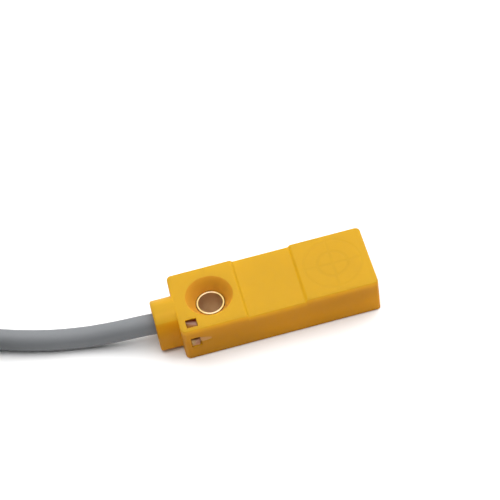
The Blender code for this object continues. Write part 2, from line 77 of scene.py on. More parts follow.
# ------------------------------------------------------------------ materials
class Mat:
    """Small helper that strings shader nodes together."""

    def __init__(self, name):
        self.m = bpy.data.materials.new(name)
        self.m.use_nodes = True
        self.t = self.m.node_tree
        self.t.nodes.clear()
        self.out = self.t.nodes.new("ShaderNodeOutputMaterial")
        self.b = self.t.nodes.new("ShaderNodeBsdfPrincipled")
        self.t.links.new(self.b.outputs[0], self.out.inputs[0])
        self.coord = self.t.nodes.new("ShaderNodeTexCoord").outputs["Object"]

    def link(self, a, b):
        self.t.links.new(a, b)

    def set(self, **kw):
        for k, v in kw.items():
            self.b.inputs[k.replace("_", " ")].default_value = v
        return self

    def mapping(self, scale=(1, 1, 1), rot=(0, 0, 0), loc=(0, 0, 0), src=None):
        n = self.t.nodes.new("ShaderNodeMapping")
        n.inputs["Scale"].default_value = scale
        n.inputs["Rotation"].default_value = rot
        n.inputs["Location"].default_value = loc
        self.link(src or self.coord, n.inputs["Vector"])
        return n.outputs[0]

    def noise(self, scale, detail=3.0, rough=0.5, vec=None, distortion=0.0):
        n = self.t.nodes.new("ShaderNodeTexNoise")
        n.inputs["Scale"].default_value = scale
        n.inputs["Detail"].default_value = detail
        n.inputs["Roughness"].default_value = rough
        n.inputs["Distortion"].default_value = distortion
        self.link(vec or self.coord, n.inputs["Vector"])
        return n.outputs["Fac"]

    def math(self, op, a, b=None, clamp=False):
        n = self.t.nodes.new("ShaderNodeMath")
        n.operation = op
        n.use_clamp = clamp
        for i, v in enumerate((a, b)):
            if v is None:
                continue
            if isinstance(v, (int, float)):
                n.inputs[i].default_value = v
            else:
                self.link(v, n.inputs[i])
        return n.outputs[0]

    def xyz(self, vec=None):
        n = self.t.nodes.new("ShaderNodeSeparateXYZ")
        self.link(vec or self.coord, n.inputs[0])
        return n.outputs

    def span(self, v, lo, hi, out_lo=0.0, out_hi=1.0, smooth=True):
        n = self.t.nodes.new("ShaderNodeMapRange")
        n.interpolation_type = "SMOOTHSTEP" if smooth else "LINEAR"
        self.link(v, n.inputs["Value"])
        n.inputs["From Min"].default_value = lo
        n.inputs["From Max"].default_value = hi
        n.inputs["To Min"].default_value = out_lo
        n.inputs["To Max"].default_value = out_hi
        return n.outputs[0]

    def mix(self, fac, a, b, blend="MIX"):
        n = self.t.nodes.new("ShaderNodeMix")
        n.data_type = "RGBA"
        n.blend_type = blend
        for s, v in ((n.inputs[0], fac), (n.inputs[6], a), (n.inputs[7], b)):
            if isinstance(v, (int, float)):
                s.default_value = v
            elif isinstance(v, tuple):
                s.default_value = (*v, 1.0) if len(v) == 3 else v
            else:
                self.link(v, s)
        return n.outputs[2]

    def bump(self, height, strength, distance, normal=None):
        n = self.t.nodes.new("ShaderNodeBump")
        n.inputs["Strength"].default_value = strength
        n.inputs["Distance"].default_value = distance
        self.link(height, n.inputs["Height"])
        if normal is not None:
            self.link(normal, n.inputs["Normal"])
        return n.outputs[0]

    def to(self, **kw):
        for k, v in kw.items():
            self.link(v, self.b.inputs[k.replace("_", " ")])
        return self


def yellow_material():
    """Moulded yellow polyester: slow colour drift, fine eroded grain, a little light carried
    under the skin, and the sensing mark slightly duller. Light and shade are painted into the
    colour: a lit yellow on the top, a deeper orange shaded copy on the side walls, and painted
    highlights and shade at the edges, recess steps, countersink and indicator window."""
    k = Mat("moulded_yellow_pbt")
    x, y, z = k.xyz()
    slow = k.noise(240.0, 3.0)
    top = k.mix(slow, tuple(c * 0.985 for c in YELLOW_TOP), tuple(c * 1.015 for c in YELLOW_TOP))
    wall = k.mix(slow, tuple(c * 0.975 for c in SHADED_WALL_YELLOW), tuple(c * 1.025 for c in SHADED_WALL_YELLOW))
    # painted light: the long walls are painted paler towards the foot, mostly away from the cable end,
    # lifting the shade near the floor
    foot = k.math("MAXIMUM", k.math("MULTIPLY", k.span(z, 0.0050, 0.0015), k.span(x, -0.007, 0.001)),
                  k.math("MULTIPLY", k.span(z, 0.0032, 0.0008), 0.38))
    wall = k.mix(foot, wall, tuple(c * 1.27 for c in SHADED_WALL_YELLOW))
    # painted light: the walls are painted lighter just under the top edge, standing in for light from
    # the top face carried under the skin
    recess = k.math("MULTIPLY", k.math("GREATER_THAN", x, STEP_A * MM),
                    k.math("LESS_THAN", x, STEP_B * MM))
    depth = k.math("ADD", z, k.math("MULTIPLY", recess, 0.00037))
    wall = k.mix(k.span(depth, 0.00520, 0.00605), wall, PAINTED_EDGE_GLOW)
    geo = k.t.nodes.new("ShaderNodeNewGeometry")
    nx, ny, nz = k.xyz(geo.outputs["Normal"])
    # painted light: the recess ramps get the lit top colour rather than the shaded wall colour, a shade
    # duller at the left step and painted lighter at the right step against its shade
    near_a = k.span(k.math("ABSOLUTE", k.math("SUBTRACT", x, STEP_A * MM)), 0.0006, 0.0005)
    near_b = k.span(k.math("ABSOLUTE", k.math("SUBTRACT", x, STEP_B * MM)), 0.0006, 0.0005)
    upper = k.math("MULTIPLY", k.math("GREATER_THAN", z, 0.00585),
                   k.span(k.math("ABSOLUTE", y), 0.00500, 0.00480))
    ramp = k.math("MULTIPLY", k.math("MAXIMUM", near_a, near_b), upper)
    slope = k.math("MULTIPLY", ramp, k.span(nz, 0.99, 0.80))
    top = k.mix(slope, top, k.mix(near_b, (0.428, 0.233, 0.0066), (0.472, 0.259, 0.0080)))
    # painted shade: a thin dark line painted along each recess step
    shade_line_a = k.span(k.math("ABSOLUTE", k.math("SUBTRACT", x, (X0 + 9.51) * MM)), 0.00018, 0.00002)
    shade_line_b = k.span(k.math("ABSOLUTE", k.math("SUBTRACT", x, (X0 + 17.83) * MM)), 0.00018, 0.00002)
    line = k.math("MULTIPLY", upper, k.math("ADD", k.math("MULTIPLY", shade_line_a, 0.35),
                                            k.math("MULTIPLY", shade_line_b, 0.45)))
    top = k.mix(line, top, (0.355, 0.180, 0.0050))
    # painted light and shade: faces that look up get the lit top colour, the side walls the shaded wall
    # colour
    flat = k.math("MAXIMUM", k.span(nz, 0.65, 0.95), ramp)
    colour = k.mix(flat, wall, top)
    # painted highlight: the rounded upper edges are painted lighter
    edge_highlight = k.math("MULTIPLY", k.math("MULTIPLY", k.span(nz, 0.999, 0.94), k.span(nz, 0.25, 0.60)),
                 k.math("MULTIPLY", k.math("GREATER_THAN", z, 0.0056),
                        k.math("SUBTRACT", 1.0, ramp)))
    colour = k.mix(edge_highlight, colour, (0.478, 0.258, 0.0125))
    # countersink: painted light and shade; the cone has its own greyer copy of the yellow, painted
    # lighter towards its foot against the shade deep in the countersink
    hx = k.math("SUBTRACT", x, HOLE_X * MM)
    hr = k.math("SQRT", k.math("ADD", k.math("MULTIPLY", hx, hx), k.math("MULTIPLY", y, y)))
    cone = k.math("MULTIPLY", k.span(hr, 0.00345, 0.00325),
                  k.math("GREATER_THAN", z, 0.0045))
    colour = k.mix(cone, colour, k.mix(k.span(z, 0.0047, 0.0058), CONE_FOOT_LIT, CONE))
    # painted shade: the walls of the indicator window are painted dark, turning to a painted highlight
    # towards the far right corner
    wx = k.math("MULTIPLY", k.math("GREATER_THAN", x, (X0 + 0.86) * MM),
                k.math("LESS_THAN", x, (X0 + 2.55) * MM))
    wy = k.math("MULTIPLY", k.math("GREATER_THAN", y, -0.00462),
                k.math("LESS_THAN", y, -0.00308))
    shade = k.math("MULTIPLY", k.math("MULTIPLY", wx, wy), k.span(z, 0.00641, 0.00618))
    window_shade_colour = k.mix(k.span(x, (X0 + 1.9) * MM, (X0 + 2.35) * MM), (0.092, 0.025, 0.0022),
                  (0.25, 0.105, 0.012))
    colour = k.mix(shade, colour, window_shade_colour)
    # mark on the sensing face
    dx = k.math("SUBTRACT", x, MARK_X * MM)
    dy = k.math("SUBTRACT", y, MARK_Y * MM)
    rad = k.math("SQRT", k.math("ADD", k.math("MULTIPLY", dx, dx), k.math("MULTIPLY", dy, dy)))

    def band(v, half):
        return k.span(k.math("ABSOLUTE", v), (half + 0.05) * MM, (half - 0.05) * MM)
    rings = k.math("MAXIMUM", band(k.math("SUBTRACT", rad, MARK_R1 * MM), MARK_W1 / 2),
                   band(k.math("SUBTRACT", rad, MARK_R2 * MM), MARK_W2 / 2))
    hairs = k.math("MAXIMUM", band(dx, MARK_W3 / 2), band(dy, MARK_W3 / 2))
    hairs = k.math("MULTIPLY", hairs, k.math("LESS_THAN", rad, MARK_R1 * MM))
    mark = k.math("MULTIPLY", k.math("MAXIMUM", rings, hairs),
                  k.math("GREATER_THAN", z, (H - 0.2) * MM))
    inner = k.span(rad, (MARK_R2 + 0.5) * MM, (MARK_R2 - 0.1) * MM, 0.62, 1.0)
    mark = k.math("MULTIPLY", mark, inner)
    dull = k.mix(1.0, colour, (0.950, 0.953, 0.975), "MULTIPLY")
    k.to(Base_Color=k.mix(mark, colour, dull))
    k.to(Roughness=k.span(k.noise(4400.0, 4.0, 0.6), 0.3, 0.7, 0.46, 0.56))
    n1 = k.bump(k.noise(11000.0, 3.0, 0.6), 0.5, 3e-6)
    k.to(Normal=k.bump(k.noise(1300.0, 2.0), 0.3, 8e-6, n1))
    k.set(Specular_IOR_Level=0.11, Subsurface_Weight=0.70, Subsurface_Radius=(1.0, 0.85, 0.25),
          Subsurface_Scale=0.0040)
    k.b.subsurface_method = "BURLEY"
    return k.m


def masked(name, mask_of, rgb, metal_rgb, rough=0.45, metal_rough=0.3, grain=9000.0):
    """Dark body with bright terminals, told apart by position."""
    k = Mat(name)
    mask = mask_of(k)
    body = k.mix(k.noise(1800.0, 3.0), tuple(c * 0.85 for c in rgb), tuple(c * 1.2 for c in rgb))
    tin = k.mix(k.noise(5000.0, 3.0), tuple(c * 0.88 for c in metal_rgb), metal_rgb)
    k.to(Base_Color=k.mix(mask, body, tin))
    k.to(Metallic=mask)
    k.to(Roughness=k.span(mask, 0.0, 1.0, rough, metal_rough, smooth=False))
    k.to(Normal=k.bump(k.noise(grain, 3.0), 0.4, 4e-6))
    return k.m


# painted light and shade: the top colour is the lit yellow and the wall colour a deeper orange shaded
# copy; the cone, edge and cone foot colours below are painted light and shade as well
YELLOW_TOP = (0.434, 0.236, 0.0070)
CONE = (0.490, 0.219, 0.0185)
CONE_FOOT_LIT = (0.600, 0.262, 0.0250)
PAINTED_EDGE_GLOW = (0.540, 0.252, 0.0042)
SHADED_WALL_YELLOW = (0.452, 0.186, 0.0026)
MARK_X, MARK_Y = SENSE_X, -0.02
MARK_R1, MARK_W1 = 4.08, 0.46
MARK_R2, MARK_W2 = 2.15, 0.52
MARK_W3 = 0.42
yellow = yellow_material()


def brass_material():
    k = Mat("turned_brass")
    x, y, z = k.xyz()
    # turning marks: fine rings about the screw axis
    dx = k.math("SUBTRACT", x, HOLE_X * MM)
    r = k.math("SQRT", k.math("ADD", k.math("MULTIPLY", dx, dx), k.math("MULTIPLY", y, y)))
    wave = k.math("SINE", k.math("MULTIPLY", r, 2 * math.pi / 0.00004))
    groove = k.math("SINE", k.math("MULTIPLY", z, 2 * math.pi / 0.00009))
    tarnish = k.noise(700.0, 3.0, 0.6)
    lip = k.mix(tarnish, (0.465, 0.335, 0.200), (0.495, 0.360, 0.220))
    # painted light and shade: the lip is painted darker and yellower to the left and right of the hole
    # than in front of and behind it
    side = k.span(k.math("ABSOLUTE", dx), 0.0006, 0.0016)
    lip = k.mix(1.0, lip, k.mix(side, (1.0, 1.0, 0.95), (0.76, 0.74, 0.46)), "MULTIPLY")
    dull = k.mix(tarnish, (0.61, 0.425, 0.250), (0.64, 0.45, 0.265))
    inside = k.span(r, 1.735 * MM, 1.705 * MM)
    k.to(Base_Color=k.mix(inside, lip, dull))
    k.set(Metallic=1.0)
    k.to(Roughness=k.math("ADD", k.span(k.noise(4000.0, 3.0), 0.3, 0.7, 0.26, 0.34),
                          k.math("MULTIPLY", inside, 0.26)))
    n = k.bump(wave, 0.12, 1.5e-6)
    k.to(Normal=k.bump(groove, 0.15, 1.5e-6, n))
    return k.m


def jacket_material():
    k = Mat("grey_pvc_jacket")
    slow = k.noise(220.0, 4.0, 0.6)
    k.to(Base_Color=k.mix(slow, (0.152, 0.159, 0.166), (0.170, 0.177, 0.184)))
    k.set(Specular_IOR_Level=0.26)
    k.to(Roughness=k.span(k.noise(2600.0, 4.0), 0.3, 0.7, 0.44, 0.58))
    n = k.bump(k.noise(900.0, 2.0), 0.45, 2.5e-5)
    k.to(Normal=k.bump(k.noise(9000.0, 3.0), 0.5, 5e-6, n))
    return k.m


def core_material(name, rgb):
    k = Mat(name)
    k.to(Base_Color=k.mix(k.noise(500.0, 3.0), tuple(c * 0.85 for c in rgb),
                          tuple(min(1, c * 1.15) for c in rgb)))
    k.to(Roughness=k.span(k.noise(3000.0, 3.0), 0.3, 0.7, 0.34, 0.46))
    k.to(Normal=k.bump(k.noise(2500.0, 2.0), 0.4, 8e-6))
    return k.m


def tinned_material():
    k = Mat("tinned_copper_strands")
    k.to(Base_Color=k.mix(k.noise(2500.0, 3.0), (0.60, 0.58, 0.55), (0.78, 0.77, 0.75)))
    k.set(Metallic=1.0)
    k.to(Roughness=k.span(k.noise(5200.0, 3.0), 0.3, 0.7, 0.22, 0.4))
    k.to(Normal=k.bump(k.noise(7000.0, 2.0), 0.5, 6e-6))
    return k.m


def solder_material():
    k = Mat("bright_solder")
    k.to(Base_Color=k.mix(k.noise(3500.0, 4.0), (0.55, 0.56, 0.58), (0.75, 0.76, 0.78)))
    k.set(Metallic=1.0)
    k.to(Roughness=k.span(k.noise(4200.0, 3.0), 0.35, 0.65, 0.16, 0.36))
    k.to(Normal=k.bump(k.noise(3000.0, 2.0), 0.4, 1.2e-5))
    return k.m


def potting_material():
    k = Mat("cast_black_epoxy")
    k.to(Base_Color=k.mix(k.noise(900.0, 4.0), (0.016, 0.016, 0.018), (0.035, 0.034, 0.036)))
    k.to(Roughness=k.span(k.noise(1600.0, 3.0), 0.35, 0.65, 0.14, 0.30))
    n = k.bump(k.noise(420.0, 2.0), 0.5, 5e-5)
    k.to(Normal=k.bump(k.noise(6000.0, 3.0), 0.25, 5e-6, n))
    return k.m


def board_material():
    k = Mat("circuit_board_green")
    x, y, z = k.xyz()
    # copper runs under the solder mask, a little raised and lighter, in a coarse rectangular layout
    brick = k.t.nodes.new("ShaderNodeTexBrick")
    brick.inputs["Scale"].default_value = 420.0
    brick.inputs["Mortar Size"].default_value = 0.10
    brick.inputs["Mortar Smooth"].default_value = 0.2
    brick.inputs["Brick Width"].default_value = 1.1
    brick.inputs["Row Height"].default_value = 0.42
    k.link(k.coord, brick.inputs["Vector"])
    lines = brick.outputs["Fac"]
    grain = k.noise(2600.0, 3.0)
    green = k.mix(grain, (0.012, 0.085, 0.030), (0.018, 0.120, 0.042))
    run = k.mix(grain, (0.030, 0.190, 0.070), (0.040, 0.230, 0.085))
    top = k.mix(lines, green, run)
    # the cut edge of the laminate is bare glass-epoxy
    edge = k.math("MULTIPLY", k.math("GREATER_THAN", z, 0.00105), k.math("LESS_THAN", z, 0.00155))
    k.to(Base_Color=k.mix(edge, top, (0.30, 0.29, 0.16)))
    k.to(Roughness=k.span(grain, 0.3, 0.7, 0.28, 0.42))
    k.to(Normal=k.bump(lines, 0.5, 2.5e-5))
    return k.m


def resin_material():
    """Clear epoxy in the indicator windows, over the dark red of the unlit lamp behind it,
    with painted reflections and a painted shadow in its colour.
    """
    k = Mat("indicator_clear_resin")
    x, y, z = k.xyz()
    cloud = k.noise(1500.0, 3.0, 0.6, distortion=0.6)
    # the pink below is a painted reflection on the resin surface
    reflection_pink = k.mix(cloud, (0.26, 0.128, 0.078), (0.33, 0.172, 0.112))
    brown = k.mix(cloud, (0.175, 0.062, 0.006), (0.235, 0.088, 0.011))
    red = k.mix(cloud, (0.085, 0.006, 0.002), (0.125, 0.011, 0.004))
    pale = k.mix(cloud, (0.40, 0.245, 0.078), (0.47, 0.290, 0.105))
    tan = k.mix(cloud, (0.49, 0.228, 0.058), (0.58, 0.285, 0.084))
    rose = k.mix(cloud, (0.300, 0.134, 0.062), (0.375, 0.172, 0.086))
    # the amber below is a painted reflection along the side window's lower sill
    sill_reflection = k.mix(cloud, (0.46, 0.170, 0.048), (0.53, 0.205, 0.062))
    # top window: the lamp's red shows along the far wall, then a pale pink wedge, a painted reflection,
    # then brown
    across = k.math("SUBTRACT", x, (X0 + 1.2) * MM)
    lean = k.math("SUBTRACT", y, k.math("MULTIPLY", k.math("SUBTRACT", H * MM, z), 0.785))
    v = k.math("ADD", lean, k.math("MULTIPLY", across, 0.20))
    w = k.math("ADD", lean, k.math("MULTIPLY", across, 0.42))
    far = k.span(v, -0.00362, -0.00348)
    near = k.span(w, -0.00402, -0.00386, 1.0, 0.0)
    top_col = k.mix(near, k.mix(far, reflection_pink, red), brown)
    # side window: a painted shadow under its upper edge, pale to the left, a painted reflection along
    # the lower sill, tan in the tongue
    up = k.span(z, 0.00376, 0.00404)
    left = k.span(x, (X0 + 1.85) * MM, (X0 + 1.30) * MM)
    side_col = k.mix(k.span(z, 0.00315, 0.00270), k.mix(left, rose, pale), sill_reflection)
    side_col = k.mix(k.math("MULTIPLY", up, k.span(x, (X0 + 1.3) * MM, (X0 + 1.8) * MM, 0.5, 0.95)),
                     side_col, (0.13, 0.045, 0.006))
    side_col = k.mix(k.span(x, (X0 + 2.36) * MM, (X0 + 2.46) * MM), side_col, tan)
    k.to(Base_Color=k.mix(k.math("GREATER_THAN", z, 0.0052), side_col, top_col))
    k.to(Roughness=k.span(cloud, 0.3, 0.7, 0.16, 0.28))
    k.to(Normal=k.bump(k.noise(1100.0, 2.0, distortion=0.4), 0.6, 3e-5))
    k.set(Transmission_Weight=0.06, IOR=1.5, Specular_IOR_Level=0.20)
    return k.m


def nylon_material():
    k = Mat("natural_nylon")
    k.to(Base_Color=k.mix(k.noise(600.0, 3.0), (0.50, 0.50, 0.465), (0.575, 0.575, 0.545)))
    k.to(Roughness=k.span(k.noise(2600.0, 3.0), 0.3, 0.7, 0.32, 0.45))
    k.to(Normal=k.bump(k.noise(5000.0, 3.0), 0.4, 6e-6))
    k.set(Subsurface_Weight=0.25, Subsurface_Radius=(1.0, 0.95, 0.85), Subsurface_Scale=0.0006)
    return k.m


brass = brass_material()
jacket = jacket_material()
brown_core = core_material("brown_core_insulation", (0.135, 0.048, 0.021))
blue_core = core_material("blue_core_insulation", (0.015, 0.080, 0.32))
black_core = core_material("black_core_insulation", (0.018, 0.018, 0.020))
tinned = tinned_material()
solder = solder_material()
potting = potting_material()
board_mat = board_material()
resin = resin_material()
nylon = nylon_material()


# ------------------------------------------------------------------ mesh helpers
def new_object(name, bm, mat=None, angle=32.0, weighted=True):
    mesh = bpy.data.meshes.new(name)
    bm.to_mesh(mesh)
    bm.free()
    o = bpy.data.objects.new(name, mesh)
    scene.collection.objects.link(o)
    if mat is not None:
        mesh.materials.append(mat)
    return o


def finish_shading(o, angle=32.0, weighted=True):
    o.data.shade_smooth()
    o.data.set_sharp_from_angle(angle=math.radians(angle))
    if weighted:
        w = o.modifiers.new("even_normals", "WEIGHTED_NORMAL")
        w.mode = "FACE_AREA"
        w.weight = 60
        w.keep_sharp = True
    return o


def apply_modifiers(o):
    dg = bpy.context.evaluated_depsgraph_get()
    mesh = bpy.data.meshes.new_from_object(o.evaluated_get(dg))
    old = o.data
    o.modifiers.clear()
    o.data = mesh
    if old.users == 0:
        bpy.data.meshes.remove(old)
    return o


def boolean(o, cutter, operation="DIFFERENCE"):
    bm_mod = o.modifiers.new("b", "BOOLEAN")
    bm_mod.operation = operation
    bm_mod.solver = "EXACT"
    bm_mod.object = cutter
    apply_modifiers(o)
    bpy.data.objects.remove(cutter, do_unlink=True)
    return o


def lathe(name, profile, segments=96, centre=(0, 0), closed=False, mat=None):
    """Solid turned about Z from a profile of (r, z) points, bottom to top; closed makes a ring."""
    bm = bmesh.new()
    rings = []
    for r, z in profile:
        if r < 1e-7:
            rings.append([bm.verts.new((centre[0] * MM, centre[1] * MM, z * MM))])
        else:
            rings.append([bm.verts.new(((centre[0] + r * math.cos(a)) * MM,
                                        (centre[1] + r * math.sin(a)) * MM, z * MM))
                          for a in (2 * math.pi * i / segments for i in range(segments))])
    pairs = list(zip(rings, rings[1:] + rings[:1])) if closed else list(zip(rings, rings[1:]))
    for a, b in pairs:
        for i in range(segments):
            j = (i + 1) % segments
            if len(a) == 1:
                bm.faces.new((a[0], b[i], b[j]))
            elif len(b) == 1:
                bm.faces.new((a[i], a[j], b[0]))
            else:
                bm.faces.new((a[i], a[j], b[j], b[i]))
    bmesh.ops.recalc_face_normals(bm, faces=bm.faces)
    return new_object(name, bm, mat)


def prism(name, loop, axis, lo, hi, mat=None):
    """Solid from a closed 2-D loop pushed along an axis; the loop is in the other two axes in order."""
    bm = bmesh.new()
    put = {"x": lambda u, v, w: (w, u, v), "y": lambda u, v, w: (u, w, v),
           "z": lambda u, v, w: (u, v, w)}[axis]
    a = [bm.verts.new(Vector(put(u, v, lo)) * MM) for u, v in loop]
    b = [bm.verts.new(Vector(put(u, v, hi)) * MM) for u, v in loop]
    n = len(loop)
    bm.faces.new(a)
    bm.faces.new(list(reversed(b)))
    for i in range(n):
        j = (i + 1) % n
        bm.faces.new((a[i], b[i], b[j], a[j]))
    bmesh.ops.recalc_face_normals(bm, faces=bm.faces)
    return new_object(name, bm, mat)


def loft(name, rings, mat=None, cap=True):
    """Solid through a row of equal rings of 3-D points (mm)."""
    bm = bmesh.new()
    vs = [[bm.verts.new(Vector(p) * MM) for p in ring] for ring in rings]
    n = len(rings[0])
    for a, b in zip(vs, vs[1:]):
        for i in range(n):
            j = (i + 1) % n
            bm.faces.new((a[i], a[j], b[j], b[i]))
    if cap:
        bm.faces.new(list(reversed(vs[0])))
        bm.faces.new(vs[-1])
    bmesh.ops.recalc_face_normals(bm, faces=bm.faces)
    return new_object(name, bm, mat)


def arc(cx, cy, r, a0, a1, n):
    return [(cx + r * math.cos(math.radians(a0 + (a1 - a0) * i / n)),
             cy + r * math.sin(math.radians(a0 + (a1 - a0) * i / n))) for i in range(n + 1)]


def rounded(x0, x1, y0, y1, r, n=5):
    return (arc(x1 - r, y1 - r, r, 0, 90, n) + arc(x0 + r, y1 - r, r, 90, 180, n)
            + arc(x0 + r, y0 + r, r, 180, 270, n) + arc(x1 - r, y0 + r, r, 270, 360, n))


def smooth_route(points, spacing):
    """Points read evenly from a centripetal Catmull-Rom curve through the route's points."""
    p = [Vector(q) for q in points]
    p = [p[0] * 2 - p[1]] + p + [p[-1] * 2 - p[-2]]
    dense = []
    for i in range(1, len(p) - 2):
        a, b, c, d = p[i - 1:i + 3]
        t0 = 0.0
        t1 = t0 + math.sqrt((b - a).length)
        t2 = t1 + math.sqrt((c - b).length)
        t3 = t2 + math.sqrt((d - c).length)
        for k in range(24):
            t = t1 + (t2 - t1) * k / 24
            a1 = a * ((t1 - t) / (t1 - t0)) + b * ((t - t0) / (t1 - t0))
            a2 = b * ((t2 - t) / (t2 - t1)) + c * ((t - t1) / (t2 - t1))
            a3 = c * ((t3 - t) / (t3 - t2)) + d * ((t - t2) / (t3 - t2))
            b1 = a1 * ((t2 - t) / (t2 - t0)) + a2 * ((t - t0) / (t2 - t0))
            b2 = a2 * ((t3 - t) / (t3 - t1)) + a3 * ((t - t1) / (t3 - t1))
            dense.append(b1 * ((t2 - t) / (t2 - t1)) + b2 * ((t - t1) / (t2 - t1)))
    dense.append(p[-2])
    return even(dense, spacing)


def even(dense, spacing):
    total = sum((q - r).length for q, r in zip(dense[1:], dense))
    count = max(2, round(total / spacing))
    out, run, k = [dense[0]], 0.0, 0
    for n in range(1, count):
        want = total * n / count
        while run + (dense[k + 1] - dense[k]).length < want:
            run += (dense[k + 1] - dense[k]).length
            k += 1
        step = max((dense[k + 1] - dense[k]).length, 1e-9)
        out.append(dense[k].lerp(dense[k + 1], (want - run) / step))
    return out + [dense[-1]]


def tube(name, points, diameter, mat, resolution=4, radii=None):
    curve = bpy.data.curves.new(name, "CURVE")
    curve.dimensions = "3D"
    curve.bevel_depth = diameter * MM / 2
    curve.bevel_resolution = resolution
    curve.use_fill_caps = True
    s = curve.splines.new("POLY")
    s.points.add(len(points) - 1)
    for i, (p, q) in enumerate(zip(s.points, points)):
        p.co = (q[0] * MM, q[1] * MM, q[2] * MM, 1.0)
        if radii:
            p.radius = radii[i]
    s.use_smooth = True
    o = bpy.data.objects.new(name, curve)
    scene.collection.objects.link(o)
    curve.materials.append(mat)
    return o


# ------------------------------------------------------------------ the lead, first
COIL_X, COIL_Y = -62.8, -5.3
SHELLS = (19.53, 16.50, 13.47)
COIL_Z = 2.2
PITCH = 3.05
TURNS = 6
START = 68.3
JACKET_LENGTH = 1965.0

ROUTE = [
    (-12.98, 0.00, 3.20), (-14.28, 0.00, 3.20), (-15.58, 0.02, 3.20), (-16.48, 0.14, 3.16),
    (-17.65, 0.33, 3.00), (-19.08, 0.56, 2.77), (-20.52, 0.84, 2.50), (-21.95, 1.16, 2.22),
    (-23.38, 1.50, 1.96), (-24.78, 1.83, 1.73), (-26.18, 2.17, 1.58), (-27.58, 2.48, 1.51),
    (-28.98, 2.80, 1.50), (-30.38, 3.14, 1.50), (-31.73, 3.55, 1.50), (-33.13, 3.99, 1.50),
    (-34.48, 4.45, 1.50), (-35.83, 4.96, 1.50), (-37.18, 5.51, 1.50), (-40.58, 6.86, 1.50),
    (-44.48, 8.41, 1.52), (-48.28, 9.92, 1.68), (-52.08, 11.43, 1.98), (-54.68, 12.46, 2.16),
]


def lead_line():
    c = Vector((COIL_X, COIL_Y, 0.0))

    def at(angle, r, z):
        a = math.radians(angle)
        return c + Vector((r * math.cos(a), r * math.sin(a), z))

    line = smooth_route(ROUTE + [tuple(at(START, SHELLS[0], COIL_Z))], 0.9)
    stages = []
    top = COIL_Z + PITCH * TURNS
    turn = 360.0 * TURNS
    stages.append((turn, SHELLS[0], SHELLS[0], COIL_Z, top))
    stages.append((120.0, SHELLS[0], SHELLS[1], top, top))
    stages.append((turn, SHELLS[1], SHELLS[1], top, COIL_Z))
    stages.append((120.0, SHELLS[1], SHELLS[2], COIL_Z, COIL_Z))
    stages.append((turn, SHELLS[2], SHELLS[2], COIL_Z, top))
    length = sum((q - r).length for q, r in zip(line[1:], line))
    angle = START
    for span, r0, r1, z0, z1 in stages:
        n = round(span / 4.0)
        for i in range(1, n + 1):
            f = i / n
            s = (1 - math.cos(math.pi * f)) / 2
            r = r0 + (r1 - r0) * s
            p = at(angle + span * f, r, z0 + (z1 - z0) * f)
            length += (p - line[-1]).length
            line.append(p)
            if length >= JACKET_LENGTH:
                return line, angle + span * f
        angle += span
    return line, angle


lead_points, lead_end_angle = lead_line()
sensor_lead = tube("sensor_lead", lead_points, 2 * CABLE_R, jacket, resolution=4)


def crossings(angle):
    """(r, z) of every turn of the wound lead that crosses the half-plane at an angle."""
    a = math.radians(angle)
    u, v = Vector((math.cos(a), math.sin(a), 0)), Vector((-math.sin(a), math.cos(a), 0))
    c = Vector((COIL_X, COIL_Y, 0.0))
    out = []
    for p, q in zip(lead_points, lead_points[1:]):
        s, t = (p - c).dot(v), (q - c).dot(v)
        if s <= 0 < t and (p - c).dot(u) > 0 and (p - c).dot(u) < 24:
            w = p.lerp(q, -s / (t - s)) - c
            out.append((w.dot(u), w.z))
    return out


def rest_height(angle, r, radius):
    """Height at which a thin core lies on the turns below it."""
    best = 0.0
    for rt, zt in crossings(angle):
        d = CABLE_R + radius
        if abs(r - rt) < d:
            best = max(best, zt + math.sqrt(d * d - (r - rt) ** 2))
    return best


